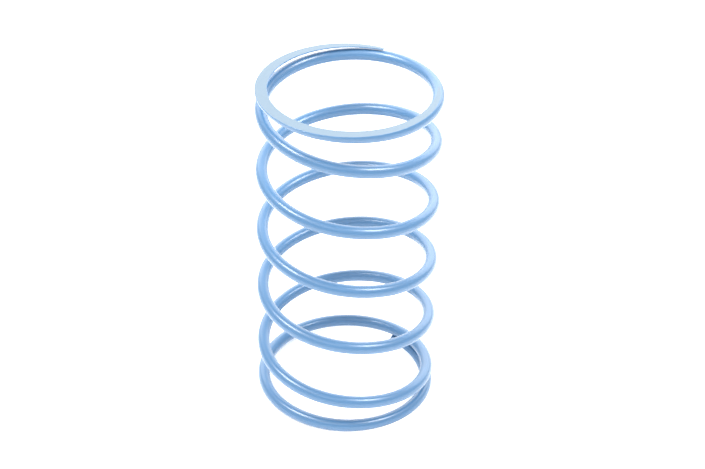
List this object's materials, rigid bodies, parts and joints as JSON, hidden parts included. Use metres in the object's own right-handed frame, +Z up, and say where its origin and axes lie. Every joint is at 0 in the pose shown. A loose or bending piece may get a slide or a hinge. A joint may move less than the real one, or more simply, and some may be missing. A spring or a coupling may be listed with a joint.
{
  "type": "helical compression spring",
  "caption": "Light left-hand helical compression spring of painted round wire, with closed and ground ends, for a coil-over damper or a similar seat.",
  "frame": {"origin": "on the spring's axis, in the plane of the lower ground face", "axes": "+Z up along the spring's axis, from the lower to the upper ground face; -Y towards the side from which the open wire tips are seen at the back right"},
  "size_m": [0.0734, 0.0734, 0.141],
  "materials": {
    "wire_paint": "light blue satin powder coat over spring steel"
  },
  "bodies": {
    "base_coil": {"lower_end_coil": "wire_paint"},
    "lower_transition_quarter_1_body": {"lower_transition_quarter_1": "wire_paint"},
    "lower_transition_quarter_2_body": {"lower_transition_quarter_2": "wire_paint"},
    "coil_1_quarter_1_body": {"coil_1_quarter_1": "wire_paint"},
    "coil_1_quarter_2_body": {"coil_1_quarter_2": "wire_paint"},
    "coil_1_quarter_3_body": {"coil_1_quarter_3": "wire_paint"},
    "coil_1_quarter_4_body": {"coil_1_quarter_4": "wire_paint"},
    "coil_2_quarter_1_body": {"coil_2_quarter_1": "wire_paint"},
    "coil_2_quarter_2_body": {"coil_2_quarter_2": "wire_paint"},
    "coil_2_quarter_3_body": {"coil_2_quarter_3": "wire_paint"},
    "coil_2_quarter_4_body": {"coil_2_quarter_4": "wire_paint"},
    "coil_3_quarter_1_body": {"coil_3_quarter_1": "wire_paint"},
    "coil_3_quarter_2_body": {"coil_3_quarter_2": "wire_paint"},
    "coil_3_quarter_3_body": {"coil_3_quarter_3": "wire_paint"},
    "coil_3_quarter_4_body": {"coil_3_quarter_4": "wire_paint"},
    "coil_4_quarter_1_body": {"coil_4_quarter_1": "wire_paint"},
    "coil_4_quarter_2_body": {"coil_4_quarter_2": "wire_paint"},
    "coil_4_quarter_3_body": {"coil_4_quarter_3": "wire_paint"},
    "coil_4_quarter_4_body": {"coil_4_quarter_4": "wire_paint"},
    "coil_5_quarter_1_body": {"coil_5_quarter_1": "wire_paint"},
    "upper_transition_quarter_1_body": {"upper_transition_quarter_1": "wire_paint"},
    "upper_transition_quarter_2_body": {"upper_transition_quarter_2": "wire_paint"},
    "top_coil": {"upper_end_coil": "wire_paint"}
  },
  "joints": [
    {"name": "wire_twist_01", "type": "hinge", "parent": "base_coil", "child": "lower_transition_quarter_1_body", "pos_m": [-0.01597, 0.0303, 0.00368], "axis": [0.8843, 0.4663, 0.0237], "range_deg": [0, 1], "stiffness_Nm_per_rad": 89.7},
    {"name": "wire_twist_02", "type": "hinge", "parent": "lower_transition_quarter_1_body", "child": "lower_transition_quarter_2_body", "pos_m": [0.0303, 0.01597, 0.00599], "axis": [0.465, -0.882, 0.0761], "range_deg": [0, 4], "stiffness_Nm_per_rad": 22.42},
    {"name": "wire_twist_03", "type": "hinge", "parent": "lower_transition_quarter_2_body", "child": "coil_1_quarter_1_body", "pos_m": [0.01597, -0.0303, 0.0119], "axis": [-0.8773, -0.4626, 0.1279], "range_deg": [0, 5], "stiffness_Nm_per_rad": 17.94},
    {"name": "spring_compression", "type": "hinge", "parent": "coil_1_quarter_1_body", "child": "coil_1_quarter_2_body", "pos_m": [-0.0303, -0.01597, 0.01883], "axis": [-0.4626, 0.8773, 0.1279], "range_deg": [0, 8], "stiffness_Nm_per_rad": 11.21},
    {"name": "wire_twist_05", "type": "hinge", "parent": "coil_1_quarter_2_body", "child": "coil_1_quarter_3_body", "pos_m": [-0.01597, 0.0303, 0.02577], "axis": [0.8773, 0.4626, 0.1279], "range_deg": [0, 8], "stiffness_Nm_per_rad": 11.21},
    {"name": "wire_twist_06", "type": "hinge", "parent": "coil_1_quarter_3_body", "child": "coil_1_quarter_4_body", "pos_m": [0.0303, 0.01597, 0.03271], "axis": [0.4626, -0.8773, 0.1279], "range_deg": [0, 8], "stiffness_Nm_per_rad": 11.21},
    {"name": "wire_twist_07", "type": "hinge", "parent": "coil_1_quarter_4_body", "child": "coil_2_quarter_1_body", "pos_m": [0.01597, -0.0303, 0.03965], "axis": [-0.8773, -0.4626, 0.1279], "range_deg": [0, 8], "stiffness_Nm_per_rad": 11.21},
    {"name": "wire_twist_08", "type": "hinge", "parent": "coil_2_quarter_1_body", "child": "coil_2_quarter_2_body", "pos_m": [-0.0303, -0.01597, 0.04659], "axis": [-0.4626, 0.8773, 0.1279], "range_deg": [0, 8], "stiffness_Nm_per_rad": 11.21},
    {"name": "wire_twist_09", "type": "hinge", "parent": "coil_2_quarter_2_body", "child": "coil_2_quarter_3_body", "pos_m": [-0.01597, 0.0303, 0.05353], "axis": [0.8773, 0.4626, 0.1279], "range_deg": [0, 8], "stiffness_Nm_per_rad": 11.21},
    {"name": "wire_twist_10", "type": "hinge", "parent": "coil_2_quarter_3_body", "child": "coil_2_quarter_4_body", "pos_m": [0.0303, 0.01597, 0.06046], "axis": [0.4626, -0.8773, 0.1279], "range_deg": [0, 8], "stiffness_Nm_per_rad": 11.21},
    {"name": "wire_twist_11", "type": "hinge", "parent": "coil_2_quarter_4_body", "child": "coil_3_quarter_1_body", "pos_m": [0.01597, -0.0303, 0.0674], "axis": [-0.8773, -0.4626, 0.1279], "range_deg": [0, 8], "stiffness_Nm_per_rad": 11.21},
    {"name": "wire_twist_12", "type": "hinge", "parent": "coil_3_quarter_1_body", "child": "coil_3_quarter_2_body", "pos_m": [-0.0303, -0.01597, 0.07434], "axis": [-0.4626, 0.8773, 0.1279], "range_deg": [0, 8], "stiffness_Nm_per_rad": 11.21},
    {"name": "wire_twist_13", "type": "hinge", "parent": "coil_3_quarter_2_body", "child": "coil_3_quarter_3_body", "pos_m": [-0.01597, 0.0303, 0.08128], "axis": [0.8773, 0.4626, 0.1279], "range_deg": [0, 8], "stiffness_Nm_per_rad": 11.21},
    {"name": "wire_twist_14", "type": "hinge", "parent": "coil_3_quarter_3_body", "child": "coil_3_quarter_4_body", "pos_m": [0.0303, 0.01597, 0.08822], "axis": [0.4626, -0.8773, 0.1279], "range_deg": [0, 8], "stiffness_Nm_per_rad": 11.21},
    {"name": "wire_twist_15", "type": "hinge", "parent": "coil_3_quarter_4_body", "child": "coil_4_quarter_1_body", "pos_m": [0.01597, -0.0303, 0.09516], "axis": [-0.8773, -0.4626, 0.1279], "range_deg": [0, 8], "stiffness_Nm_per_rad": 11.21},
    {"name": "wire_twist_16", "type": "hinge", "parent": "coil_4_quarter_1_body", "child": "coil_4_quarter_2_body", "pos_m": [-0.0303, -0.01597, 0.10209], "axis": [-0.4626, 0.8773, 0.1279], "range_deg": [0, 8], "stiffness_Nm_per_rad": 11.21},
    {"name": "wire_twist_17", "type": "hinge", "parent": "coil_4_quarter_2_body", "child": "coil_4_quarter_3_body", "pos_m": [-0.01597, 0.0303, 0.10903], "axis": [0.8773, 0.4626, 0.1279], "range_deg": [0, 8], "stiffness_Nm_per_rad": 11.21},
    {"name": "wire_twist_18", "type": "hinge", "parent": "coil_4_quarter_3_body", "child": "coil_4_quarter_4_body", "pos_m": [0.0303, 0.01597, 0.11597], "axis": [0.4626, -0.8773, 0.1279], "range_deg": [0, 8], "stiffness_Nm_per_rad": 11.21},
    {"name": "wire_twist_19", "type": "hinge", "parent": "coil_4_quarter_4_body", "child": "coil_5_quarter_1_body", "pos_m": [0.01597, -0.0303, 0.12291], "axis": [-0.8773, -0.4626, 0.1279], "range_deg": [0, 8], "stiffness_Nm_per_rad": 11.21},
    {"name": "wire_twist_20", "type": "hinge", "parent": "coil_5_quarter_1_body", "child": "upper_transition_quarter_1_body", "pos_m": [-0.0303, -0.01597, 0.12985], "axis": [-0.4626, 0.8773, 0.1279], "range_deg": [0, 5], "stiffness_Nm_per_rad": 17.94},
    {"name": "wire_twist_21", "type": "hinge", "parent": "upper_transition_quarter_1_body", "child": "upper_transition_quarter_2_body", "pos_m": [-0.01597, 0.0303, 0.13577], "axis": [0.882, 0.465, 0.0769], "range_deg": [0, 4], "stiffness_Nm_per_rad": 22.42},
    {"name": "wire_twist_22", "type": "hinge", "parent": "upper_transition_quarter_2_body", "child": "top_coil", "pos_m": [0.0303, 0.01597, 0.13815], "axis": [0.4662, -0.8843, 0.0253], "range_deg": [0, 1], "stiffness_Nm_per_rad": 89.7}
  ],
  "couplings": [
    {"joint": "wire_twist_01", "follows": "spring_compression", "ratio": 0.125},
    {"joint": "wire_twist_02", "follows": "spring_compression", "ratio": 0.5},
    {"joint": "wire_twist_03", "follows": "spring_compression", "ratio": 0.625},
    {"joint": "wire_twist_05", "follows": "spring_compression", "ratio": 1},
    {"joint": "wire_twist_06", "follows": "spring_compression", "ratio": 1},
    {"joint": "wire_twist_07", "follows": "spring_compression", "ratio": 1},
    {"joint": "wire_twist_08", "follows": "spring_compression", "ratio": 1},
    {"joint": "wire_twist_09", "follows": "spring_compression", "ratio": 1},
    {"joint": "wire_twist_10", "follows": "spring_compression", "ratio": 1},
    {"joint": "wire_twist_11", "follows": "spring_compression", "ratio": 1},
    {"joint": "wire_twist_12", "follows": "spring_compression", "ratio": 1},
    {"joint": "wire_twist_13", "follows": "spring_compression", "ratio": 1},
    {"joint": "wire_twist_14", "follows": "spring_compression", "ratio": 1},
    {"joint": "wire_twist_15", "follows": "spring_compression", "ratio": 1},
    {"joint": "wire_twist_16", "follows": "spring_compression", "ratio": 1},
    {"joint": "wire_twist_17", "follows": "spring_compression", "ratio": 1},
    {"joint": "wire_twist_18", "follows": "spring_compression", "ratio": 1},
    {"joint": "wire_twist_19", "follows": "spring_compression", "ratio": 1},
    {"joint": "wire_twist_20", "follows": "spring_compression", "ratio": 0.625},
    {"joint": "wire_twist_21", "follows": "spring_compression", "ratio": 0.5},
    {"joint": "wire_twist_22", "follows": "spring_compression", "ratio": 0.125}
  ]
}
